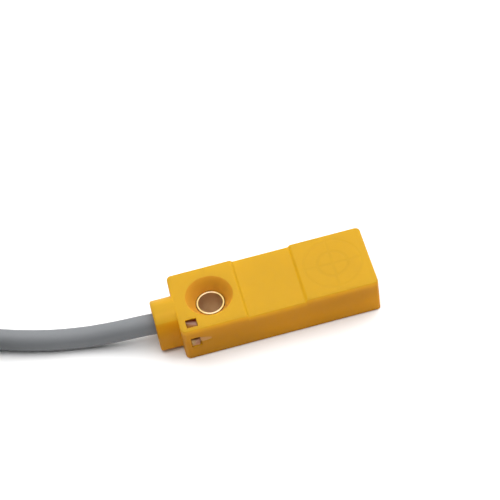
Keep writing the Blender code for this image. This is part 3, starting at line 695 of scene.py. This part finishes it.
# the stripped end: three cores leave the jacket and lie on top of the turns, tips tinned
end_p = lead_points[-1]
end_t = (lead_points[-1] - lead_points[-3]).normalized()
side = Vector((0, 0, 1)).cross(end_t).normalized()
over = end_t.cross(side)
tail_pieces = []
for n, (colour, r, mat) in enumerate((("brown", 15.3, brown_core), ("blue", 16.7, blue_core),
                                      ("black", 18.2, black_core))):
    a = math.radians((210, 90, 330)[n])
    off = (-side * math.cos(a) + over * math.sin(a)) * 0.66
    way = [end_p - end_t * 1.6 + off, end_p + end_t * 0.1 + off]
    base = lead_end_angle
    # out of the jacket, up and over the neighbouring turns, one beside the other
    start_r = SHELLS[2] + (off.x * (end_p.x - COIL_X) + off.y * (end_p.y - COIL_Y)) / SHELLS[2]
    for da in (4, 8, 12, 16, 20):
        f = min(1.0, da / 25.0)
        f = f * f * (3 - 2 * f)
        rr = start_r + (r - start_r) * f
        ang = base + da + n * 2 * f
        zz = max(rest_height(ang, rr, 0.5) + 0.06,
                 (end_p.z + off.z) * (1 - f) + (rest_height(ang, r, 0.5) + 0.5) * f)
        way.append(Vector((COIL_X + rr * math.cos(math.radians(ang)),
                           COIL_Y + rr * math.sin(math.radians(ang)), zz)))
    for i, da in enumerate((25, 32, 42, 54, 66, 78, 90, 101, 112)):
        ang = base + da + n * 2
        wob = 0.18 * math.sin(da * 0.09 + n * 2.1)
        rr = r + wob
        zz = rest_height(ang, rr, 0.5)
        lift = max(0.0, 0.45 * (1 - (da - 25) / 29.0)) if da < 54 else 0.0
        q = Vector((COIL_X + rr * math.cos(math.radians(ang)),
                    COIL_Y + rr * math.sin(math.radians(ang)), zz + 0.02 + lift))
        way.append(q)
    line = smooth_route([tuple(q) for q in way], 0.6)
    core = tube(f"core_end_{colour}", line, 1.0, mat, resolution=4)
    tail_pieces.append((core, f"lead_{colour}", f"core_{colour}"))
    # tinned strands: one twisted tube whose section has five lobes
    last, before = line[-1], line[-3]
    ax = (last - before).normalized()
    s1 = Vector((0, 0, 1)).cross(ax).normalized()
    s2 = ax.cross(s1)
    bm = bmesh.new()
    rings = 26
    lobes = 5
    sides = 40
    prev = None
    for i in range(rings + 1):
        f = i / rings
        along = -0.35 + 5.25 * f
        bend = ax * along + Vector((0, 0, -0.012 * along * along)) - s1 * (-0.010 * along * along)
        tw = 2 * math.pi * along / 4.2
        k = 1.0 if f < 0.92 else max(0.25, math.sqrt(max(0.0, 1 - ((f - 0.92) / 0.085) ** 2)))
        ring = []
        for j in range(sides):
            t = 2 * math.pi * j / sides
            rad = 0.27 * k * (0.86 + 0.14 * abs(math.cos(lobes * (t + tw) / 2)))
            ring.append(bm.verts.new((last + bend + s1 * rad * math.cos(t)
                                      + s2 * rad * math.sin(t)) * MM))
        if prev:
            for j in range(sides):
                bm.faces.new((prev[j], prev[(j + 1) % sides], ring[(j + 1) % sides], ring[j]))
        else:
            bm.faces.new(list(reversed(ring)))
        prev = ring
    bm.faces.new(prev)
    bmesh.ops.recalc_face_normals(bm, faces=bm.faces)
    tip = new_object(f"core_tip_{colour}", bm, tinned)
    finish_shading(tip, 50.0, weighted=False)
    tail_pieces.append((tip, f"lead_tip_{colour}", "tinned_copper"))


# cable ties round the coil, pulled tight over the turns as a belt over rollers
def hull(points):
    pts = sorted(set((round(x, 4), round(y, 4)) for x, y in points))

    def half(seq):
        out = []
        for p in seq:
            while len(out) > 1 and ((out[-1][0] - out[-2][0]) * (p[1] - out[-2][1])
                                    - (out[-1][1] - out[-2][1]) * (p[0] - out[-2][0])) <= 0:
                out.pop()
            out.append(p)
        return out[:-1]
    return half(pts) + half(list(reversed(pts)))


def make_tie(n, angle):
    a = math.radians(angle)
    u = Vector((math.cos(a), math.sin(a), 0))
    w = Vector((-math.sin(a), math.cos(a), 0))
    c = Vector((COIL_X, COIL_Y, 0))
    rr = CABLE_R + 0.04
    pts = [(r + rr * math.cos(t), z + rr * math.sin(t))
           for r, z in crossings(angle)
           for t in (2 * math.pi * i / 48 for i in range(48))]
    loop = hull(pts)
    dense = [Vector((x, y, 0)) for x, y in loop] + [Vector((loop[0][0], loop[0][1], 0))]
    ring = even(dense, 0.35)[:-1]
    count = len(ring)
    # soften the corners a little, as stiff nylon does
    for _ in range(2):
        ring = [ring[i] * 0.5 + (ring[i - 1] + ring[(i + 1) % count]) * 0.25 for i in range(count)]
    bm = bmesh.new()
    half_w, t = 1.25, 0.42
    section = [(0.0, -half_w + 0.12), (0.0, half_w - 0.12), (0.10, half_w), (t - 0.10, half_w),
               (t, half_w - 0.14), (t, -half_w + 0.14), (t - 0.10, -half_w), (0.10, -half_w)]
    rows = []
    for i, p in enumerate(ring):
        tangent = (ring[(i + 1) % count] - ring[i - 1]).normalized()
        out = Vector((tangent.y, -tangent.x, 0))
        # shallow ratchet ribs on the outer face of the strap
        rib = 0.05 * (1 if i % 2 else 0)
        row = []
        for depth, across in section:
            d = depth + (rib if depth == t else 0.0)
            q = p + out * d
            row.append(bm.verts.new((c + u * q.x + Vector((0, 0, q.y)) + w * across) * MM))
        rows.append(row)
    k = len(section)
    for i in range(count):
        r0, r1 = rows[i], rows[(i + 1) % count]
        for j in range(k):
            bm.faces.new((r0[j], r0[(j + 1) % k], r1[(j + 1) % k], r1[j]))
    bmesh.ops.recalc_face_normals(bm, faces=bm.faces)
    strap = new_object(f"tie_strap_{n}", bm, nylon)
    finish_shading(strap, 28.0, weighted=False)
    # head on the outer side of the coil, with its slot and the clipped tail standing out of it
    r_out = max(p.x for p in ring) + 0.42
    z_mid = 11.0
    bm = bmesh.new()
    bmesh.ops.create_cube(bm, size=1.0, matrix=Matrix.Diagonal((2.5 * MM, 3.9 * MM, 3.6 * MM, 1)))
    bmesh.ops.bevel(bm, geom=bm.edges[:], offset=0.35 * MM, segments=4, profile=0.5,
                    affect="EDGES")
    head = new_object(f"tie_head_{n}", bm, nylon)
    place = Matrix((u, w, Vector((0, 0, 1)))).transposed().to_4x4()
    place.translation = (c + u * (r_out + 1.17) + Vector((0, 0, z_mid))) * MM
    head.data.transform(place)
    bm = bmesh.new()
    bmesh.ops.create_cube(bm, size=1.0, matrix=Matrix.Diagonal((0.75 * MM, 2.7 * MM, 8 * MM, 1)))
    slot = new_object("slot", bm)
    place.translation = (c + u * (r_out + 1.35) + Vector((0, 0, z_mid))) * MM
    slot.data.transform(place)
    boolean(head, slot)
    finish_shading(head, 30.0)
    bm = bmesh.new()
    bmesh.ops.create_cube(bm, size=1.0, matrix=Matrix.Diagonal((0.46 * MM, 2.4 * MM, 5.2 * MM, 1)))
    bmesh.ops.bevel(bm, geom=bm.edges[:], offset=0.1 * MM, segments=2, affect="EDGES")
    tail = new_object(f"tie_tail_{n}", bm, nylon)
    place.translation = (c + u * (r_out + 1.35) + Vector((0, 0, z_mid + 0.9))) * MM
    tail.data.transform(place)
    finish_shading(tail, 30.0)
    return [strap, head, tail]


ties = [make_tie(1, 57.0), make_tie(2, 237.0)]

for piece, node, slot_name in tail_pieces:
    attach(piece, ROOT)
    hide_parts(node)
for n, tie in enumerate(ties, 1):
    for i, piece in enumerate(tie):
        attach(piece, ROOT)
        if i == 0:
            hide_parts(f"coil_tie_{n}")
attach(sensor_lead, ROOT)
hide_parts("cable_run", "cable_coil", "cable_jacket_end")


# ------------------------------------------------------------------ housing shell
def top_drop(x):
    """Depth of the label recess at a place along the block."""
    def step(a, b):
        t = min(1.0, max(0.0, (x - a) / (b - a)))
        return t * t * (3 - 2 * t)
    return 0.37 * step(STEP_A - 0.23, STEP_A + 0.23) * (1 - step(STEP_B - 0.23, STEP_B + 0.23))


def build_block():
    """Rounded block as a stack of rounded rectangles, its top lowered along the recess."""
    R, top_r, foot_r = 0.70, 0.25, 0.25
    n_corner = 10
    R_front = 0.45
    stations = []
    for a, b, n in ((X0 + R, STEP_A - 0.42, 10), (STEP_A - 0.42, STEP_A + 0.42, 20),
                    (STEP_A + 0.42, STEP_B - 0.42, 9), (STEP_B - 0.42, STEP_B + 0.42, 20),
                    (STEP_B + 0.42, X1 - R, 11)):
        stations += [a + (b - a) * i / n for i in range(n)]
    stations = stations[1:]
    levels = []
    n = 5
    for i in range(n + 1):
        a = math.pi / 2 * i / n
        levels.append((foot_r * (1 - math.sin(a)), foot_r * (1 - math.cos(a))))
    levels += [(0.0, z) for z in (1.5, 3.0, 4.4, 5.2)]
    n = 9
    for i in range(n + 1):
        a = math.pi / 2 * i / n
        levels.append((top_r * (1 - math.cos(a)), H - top_r + top_r * math.sin(a)))
    bm = bmesh.new()

    def chain(inset, sign):
        r = R - inset
        R1 = R_front if sign < 0 else R
        r1 = R1 - inset
        pts = []
        for i in range(n_corner + 1):
            a = math.pi / 2 * i / n_corner
            pts.append((X0 + R - r * math.cos(a), sign * (HW - R + r * math.sin(a))))
        pts += [(x, sign * (HW - inset)) for x in stations]
        for i in range(n_corner + 1):
            a = math.pi / 2 * i / n_corner
            pts.append((X1 - R1 + r1 * math.sin(a), sign * (HW - R1 + r1 * math.cos(a))))
        return pts

    def put(x, y, z):
        w = min(1.0, max(0.0, (z - 4.4) / (5.9 - 4.4)))
        return bm.verts.new(Vector((x, y, z - top_drop(x) * w)) * MM)

    rows = []
    for inset, z in levels:
        rows.append(([put(x, y, z) for x, y in chain(inset, -1)],
                     [put(x, y, z) for x, y in chain(inset, 1)]))
    for (f0, b0), (f1, b1) in zip(rows, rows[1:]):
        for i in range(len(f0) - 1):
            bm.faces.new((f0[i], f0[i + 1], f1[i + 1], f1[i]))
            bm.faces.new((b0[i + 1], b0[i], b1[i], b1[i + 1]))
        bm.faces.new((b0[0], f0[0], f1[0], b1[0]))
        bm.faces.new((f0[-1], b0[-1], b1[-1], f1[-1]))
    for (f, b), flip in ((rows[0], True), (rows[-1], False)):
        for i in range(len(f) - 1):
            q = (f[i], f[i + 1], b[i + 1], b[i])
            bm.faces.new(tuple(reversed(q)) if flip else q)
    bmesh.ops.recalc_face_normals(bm, faces=bm.faces)
    return new_object("housing_shell", bm, yellow)


def d_ring(x, inset=0.0):
    r, f = 3.2 - inset, 1.3
    loop = (arc(0, 3.2, r, 0, 180, 56) + arc(-3.2 + f, f, f - inset, 180, 270, 8)
            + arc(3.2 - f, f, f - inset, 270, 360, 8))
    return [(x, y, min(z, H - 0.004)) for y, z in loop]


def build_housing():
    body = build_block()
    rings = []
    e = 0.28
    for i in range(6):
        a = math.pi / 2 * i / 5
        rings.append(d_ring(COLLAR_X + e * (1 - math.sin(a)), e * (1 - math.cos(a))))
    rings[0] = d_ring(COLLAR_X, e)
    for i in range(1, 6):
        a = math.pi / 2 * i / 5
        rings[i] = d_ring(COLLAR_X + e * (1 - math.cos(a)), e * (1 - math.sin(a)))
    rings.append(d_ring(X0 + 0.70))
    boolean(body, loft("collar", rings), "UNION")

    # inside of the shell, leaving the screw boss
    cavity = prism("cavity", rounded(X0 + 0.7, X1 - 0.7, -HW + 0.67, HW - 0.67, 0.3, 4), "z",
                   -1.0, 5.3)
    boolean(cavity, lathe("boss", [(0, -2), (3.1, -2), (3.1, 7), (0, 7)], 72, (HOLE_X, 0)))
    boolean(body, cavity)

    # countersink with a softly broken rim, over the sleeve's hole
    slope = (3.36 - 2.10) / (H - SINK_FOOT_Z)
    flank = math.degrees(math.atan2(1.0, slope))
    rim = 0.14
    profile = [(0, -1.0), (2.10, -1.0), (2.10, SINK_FOOT_Z - 0.06), (2.11, SINK_FOOT_Z)]
    # convex rim: turns from the flank to nearly level
    t_len = rim * math.tan(math.radians(flank / 2))
    fx, fz = 3.36 - t_len * math.cos(math.radians(flank)), H - t_len * math.sin(math.radians(flank))
    cx, cz = fx + rim * math.sin(math.radians(flank)), fz - rim * math.cos(math.radians(flank))
    for i in range(8):
        a = flank * (1 - i / 8.0) + 5.0 * (i / 8.0)
        profile.append((cx - rim * math.sin(math.radians(a)), cz + rim * math.cos(math.radians(a))))
    profile += [(profile[-1][0] + 0.02, H + 1.0), (0, H + 1.0)]
    boolean(body, lathe("sink", profile, 128, (HOLE_X, 0)))

    # bore for the lead, slightly belled at the mouth, wider inside
    bore = loft("bore", [[(x, r * math.cos(t), 3.2 + r * math.sin(t))
                          for t in (2 * math.pi * i / 64 for i in range(64))]
                         for x, r in ((COLLAR_X - 1, 1.86), (COLLAR_X, 1.64), (COLLAR_X + 0.15, 1.56),
                                      (X0 + 0.1, 1.56), (X0 + 0.85, 2.35))])
    boolean(body, bore)

    # indicator windows: top one with slightly broken edges, side one and its short slot
    def window_ring(z, g):
        return [(x, y, z) for x, y in rounded(X0 + 0.92 - g, X0 + 2.47 + g, -4.55 - g, -3.15 + g,
                                              0.10 + g, 4)]
    boolean(body, loft("top_window", [window_ring(4.85, 0.0), window_ring(H - 0.10, 0.0),
                                      window_ring(H - 0.03, 0.03), window_ring(H + 0.02, 0.09),
                                      window_ring(H + 0.5, 0.10)]))

    def side_ring(y, g):
        return [(x, y, z) for x, z in rounded(X0 + 1.10 - g, X0 + 2.48 + g, 2.56 - g, 4.44 + g,
                                              0.12 + g, 4)]
    boolean(body, loft("side_window", [side_ring(-HW - 0.5, 0.09), side_ring(-HW - 0.01, 0.06),
                                       side_ring(-HW + 0.06, 0.0), side_ring(-HW + 1.0, 0.0)]))
    slot = [(X0 + 2.2, 3.28), (X0 + 3.6, 3.32), (X0 + 3.92, 3.38), (X0 + 4.06, 3.62),
            (X0 + 3.94, 3.90), (X0 + 3.6, 4.04), (X0 + 2.2, 4.42)]
    boolean(body, prism("side_slot", slot, "y", -HW - 0.5, -HW + 0.26))

    # sensing mark: two rings and crossed hairs, sunk a few hundredths with sloping walls
    depth = 0.018

    def ring_cutter(r, w):
        return lathe("ring", [(r - w / 2 + 0.07, H - depth), (r + w / 2 - 0.07, H - depth),
                              (r + w / 2 + 0.04, H + 0.02), (r - w / 2 - 0.04, H + 0.02)],
                     144, (MARK_X, MARK_Y), closed=True)
    boolean(body, ring_cutter(MARK_R1, MARK_W1))
    boolean(body, ring_cutter(MARK_R2, MARK_W2))
    for ang in (0, 90):
        w = MARK_W3 / 2
        strip = prism("hair", [(-w + 0.07, -depth - 0.001), (w - 0.07, -depth - 0.001),
                               (w + 0.04, 0.02), (-w - 0.04, 0.02)], "x",
                      -MARK_R1 - 0.02, MARK_R1 + 0.02)
        strip.data.transform(Matrix.Translation(Vector((MARK_X, MARK_Y, H)) * MM)
                             @ Matrix.Rotation(math.radians(ang), 4, "Z"))
        boolean(body, strip)
    bm = bmesh.new()
    bm.from_mesh(body.data)
    bmesh.ops.remove_doubles(bm, verts=bm.verts, dist=2e-7)
    bmesh.ops.dissolve_degenerate(bm, edges=bm.edges, dist=1e-7)
    bm.to_mesh(body.data)
    bm.free()
    body.data.materials.clear()
    body.data.materials.append(yellow)
    finish_shading(body, 30.0)
    return body


housing = build_housing()
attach(housing, ROOT)
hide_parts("housing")

# ------------------------------------------------------------------ brass sleeve
c = 0.07
prof = [(1.70, 0.10), (1.78, 0.0), (1.93, 0.0), (2.00, 0.09), (2.00, SINK_FOOT_Z - c)]
prof += [(2.00 - c + c * math.cos(math.radians(a)), SINK_FOOT_Z - c + c * math.sin(math.radians(a)))
         for a in (22, 45, 68, 90)]
prof += [(1.70 + c - c * math.sin(math.radians(a)), SINK_FOOT_Z - c + c * math.cos(math.radians(a)))
         for a in (0, 22, 45, 68, 90)]
bush = lathe("brass_sleeve", prof, 128, (HOLE_X, 0), closed=True, mat=brass)
finish_shading(bush, 35.0, weighted=False)
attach(bush, ROOT)
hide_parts("mounting_bush")


# ------------------------------------------------------------------ clear resin in the windows
def build_resin():
    """Block under the corner, with a plug up the top window and one out of the side window."""
    block = prism("indicator_resin", rounded(X0 + 0.8, X0 + 4.2, -4.38, -3.24, 0.12, 3), "z",
                  2.60, 5.22)
    x0, x1, y0, y1 = X0 + 0.96, X0 + 2.43, -4.51, -3.19
    nx, ny = 22, 22
    bm = bmesh.new()
    grid, low = [], []
    for i in range(nx + 1):
        row = []
        for j in range(ny + 1):
            u, v = i / nx, j / ny
            x, y = x0 + (x1 - x0) * u, y0 + (y1 - y0) * v
            # meniscus: low in the middle, climbing up the walls, highest at the far one
            wall = (2 * u - 1) ** 8 * 0.10
            near = max(0.0, (0.60 - 0.36 * u) - v) * (y1 - y0) * 0.30
            far = max(0.0, v - (0.90 - 0.14 * u)) * (y1 - y0) * 0.9
            corner = 0.14 * math.exp(-((u - 0.86) / 0.10) ** 2 - ((v - 1.0) / 0.12) ** 2)
            z = 5.78 + wall + near + far + corner + 0.015 * math.sin(5 * u + 2.0) * math.sin(4 * v)
            row.append(bm.verts.new(Vector((x, y, z)) * MM))
        grid.append(row)
    for i in range(nx):
        for j in range(ny):
            bm.faces.new((grid[i][j], grid[i + 1][j], grid[i + 1][j + 1], grid[i][j + 1]))
    border = ([grid[i][0] for i in range(nx)] + [grid[nx][j] for j in range(ny)]
              + [grid[i][ny] for i in range(nx, 0, -1)] + [grid[0][j] for j in range(ny, 0, -1)])
    foot = [bm.verts.new(Vector((v.co.x, v.co.y, 4.95 * MM))) for v in border]
    n = len(border)
    for i in range(n):
        j = (i + 1) % n
        bm.faces.new((border[j], border[i], foot[i], foot[j]))
    bm.faces.new(foot)
    bmesh.ops.recalc_face_normals(bm, faces=bm.faces)
    plug = new_object("plug", bm)
    boolean(block, plug, "UNION")
    # side plug, face a little sunk and rounded over
    face_y = -HW + 0.10

    def ring(y, g):
        return [(x, y, z) for x, z in rounded(X0 + 1.14 + g, X0 + 2.33 - g, 2.60 + g, 4.08 - g,
                                              0.10, 4)]
    boolean(block, loft("side_plug", [ring(-4.2, 0.0), ring(face_y + 0.06, 0.0),
                                      ring(face_y + 0.015, 0.03), ring(face_y - 0.015, 0.14),
                                      ring(face_y - 0.03, 0.32)]), "UNION")
    tongue = [(X0 + 2.50, 3.33), (X0 + 3.58, 3.36), (X0 + 3.88, 3.42), (X0 + 4.01, 3.62),
              (X0 + 3.90, 3.86), (X0 + 3.57, 3.99), (X0 + 2.50, 4.27)]
    boolean(block, prism("tongue", tongue, "y", -HW + 0.04, -HW + 0.22), "UNION")
    bridge = [(X0 + 2.1, 3.45), (X0 + 2.7, 3.45), (X0 + 2.7, 4.15), (X0 + 2.1, 4.15)]
    boolean(block, prism("bridge", bridge, "y", -HW + 0.19, -HW + 0.215), "UNION")
    block.data.materials.clear()
    block.data.materials.append(resin)
    finish_shading(block, 40.0)
    return block


indicator = build_resin()
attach(indicator, ROOT)
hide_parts("light_pipe")


# ------------------------------------------------------------------ potting that closes the underside
def build_potting():
    """Cast plate: flat on the side against the board, slightly drawn down at the edges outside."""
    plate = prism("potting_plate", rounded(X0 + 0.80, X1 - 0.80, -HW + 0.77, HW - 0.77, 0.25, 5),
                  "z", 0.0, 0.8)
    boolean(plate, lathe("hole", [(0, -1), (3.17, -1), (3.17, 2), (0, 2)], 96, (HOLE_X, 0)))
    bev = plate.modifiers.new("meniscus", "BEVEL")
    bev.width = 0.10 * MM
    bev.segments = 3
    bev.limit_method = "ANGLE"
    bev.angle_limit = math.radians(50)
    apply_modifiers(plate)
    plate.data.materials.clear()
    plate.data.materials.append(potting)
    return finish_shading(plate, 30.0)


plate = build_potting()
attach(plate, ROOT)
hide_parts("potting_resin")


# ------------------------------------------------------------------ pieces carried over from the CAD
def node_box(name):
    lo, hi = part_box(name)
    return Vector(lo), Vector(hi)


def set_material(name, mat):
    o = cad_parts[name]
    if not o.material_slots:
        o.data.materials.append(mat)
    for s in o.material_slots:
        s.material = mat


def end_caps(name, cap):
    lo, hi = node_box(name)
    mid = (lo.x + hi.x) / 2

    def mask(k):
        x, y, z = k.xyz()
        return k.math("GREATER_THAN", k.math("ABSOLUTE", k.math("SUBTRACT", x, mid)),
                      (hi.x - lo.x) / 2 - cap * MM)
    return mask


def side_legs(name, body_half):
    lo, hi = node_box(name)
    mid = (lo.y + hi.y) / 2

    def mask(k):
        x, y, z = k.xyz()
        return k.math("GREATER_THAN", k.math("ABSOLUTE", k.math("SUBTRACT", y, mid)),
                      body_half * MM)
    return mask


def hall_legs(k):
    x, y, z = k.xyz()
    return k.math("LESS_THAN", x, (SENSE_X - 1.502) * MM)


CHIP = (0.016, 0.016, 0.018)
TIN = (0.72, 0.72, 0.70)
set_material("hall_sensor_ic", masked("hall_package", hall_legs, CHIP, TIN))
set_material("comparator_ic", masked("comparator_package", side_legs("comparator_ic", 0.81),
                                     CHIP, TIN))
lo, hi = node_box("output_transistor")


def transistor_legs(k):
    x, y, z = k.xyz()
    return k.math("GREATER_THAN", k.math("ABSOLUTE", k.math("SUBTRACT", y, -2.0 * MM)), 0.66 * MM)


set_material("output_transistor", masked("transistor_package", transistor_legs, CHIP, TIN))
for name in ("polarity_diode", "surge_diode"):
    set_material(name, masked(name + "_package", end_caps(name, 0.30), CHIP, TIN))
for i in range(1, 5):
    name = f"resistor_{i}"
    set_material(name, masked(name + "_chip", end_caps(name, 0.30), (0.020, 0.022, 0.030), TIN,
                              rough=0.3))
for i in range(1, 3):
    name = f"capacitor_{i}"
    set_material(name, masked(name + "_chip", end_caps(name, 0.30), (0.42, 0.27, 0.14), TIN,
                              rough=0.5))


def led_material():
    k = Mat("indicator_lamp")
    x, y, z = k.xyz()
    dome = k.math("GREATER_THAN", z, 0.00212)
    body = k.mix(k.noise(2500.0, 3.0), (0.62, 0.60, 0.55), (0.72, 0.70, 0.66))
    lens = k.mix(k.noise(2500.0, 3.0), (0.42, 0.02, 0.012), (0.60, 0.04, 0.02))
    k.to(Base_Color=k.mix(dome, body, lens))
    k.to(Roughness=k.span(dome, 0.0, 1.0, 0.42, 0.14, smooth=False))
    k.to(Normal=k.bump(k.noise(6000.0, 2.0), 0.3, 4e-6))
    return k.m


set_material("indicator_led", led_material())
set_material("circuit_board", board_mat)
for i in range(1, 4):
    set_material(f"solder_joint_{i}", solder)
set_material("core_brown", brown_core)
set_material("core_blue", blue_core)
set_material("core_black", black_core)

# ------------------------------------------------------------------ floor and light
bm = bmesh.new()
bmesh.ops.create_grid(bm, x_segments=8, y_segments=8, size=1.5)
floor = new_object("floor", bm)
floor.location = (0, 0, -0.00002)
k = Mat("pale_sweep")
k.to(Base_Color=k.mix(k.noise(3.0, 2.0), (0.90, 0.90, 0.90), (0.915, 0.915, 0.915)))
k.set(Roughness=0.9, Specular_IOR_Level=0.1)
floor.data.materials.append(k.m)

world = bpy.data.worlds.new("studio")
scene.world = world
world.use_nodes = True
nt = world.node_tree
nt.nodes.clear()
out = nt.nodes.new("ShaderNodeOutputWorld")
bg = nt.nodes.new("ShaderNodeBackground")
tc = nt.nodes.new("ShaderNodeTexCoord")
sep = nt.nodes.new("ShaderNodeSeparateXYZ")
nt.links.new(tc.outputs["Generated"], sep.inputs[0])
rng = nt.nodes.new("ShaderNodeMapRange")
rng.inputs["From Min"].default_value = -0.8
rng.inputs["From Max"].default_value = 0.9
rng.inputs["To Min"].default_value = 0.16
rng.inputs["To Max"].default_value = 0.50
nt.links.new(sep.outputs[1], rng.inputs["Value"])
bg.inputs["Color"].default_value = (1.0, 1.0, 1.0, 1.0)
nt.links.new(rng.outputs[0], bg.inputs["Strength"])
nt.links.new(bg.outputs[0], out.inputs[0])


def area(name, place, target, size, power, colour=(1, 1, 1)):
    d = bpy.data.lights.new(name, "AREA")
    d.shape = "RECTANGLE"
    d.size, d.size_y = size
    d.energy = power
    d.color = colour
    o = bpy.data.objects.new(name, d)
    scene.collection.objects.link(o)
    o.location = place
    o.rotation_mode = "QUATERNION"
    o.rotation_quaternion = (Vector(target) - Vector(place)).to_track_quat("-Z", "Y")
    return o


area("overhead_panel", (0.38, 0.48, 0.80), (0.38, 0.48, 0.0), (1.9, 1.75), 29.0)

scene.view_settings.view_transform = "Standard"
scene.view_settings.look = "None"
scene.view_settings.exposure = 0.0
scene.view_settings.gamma = 1.0
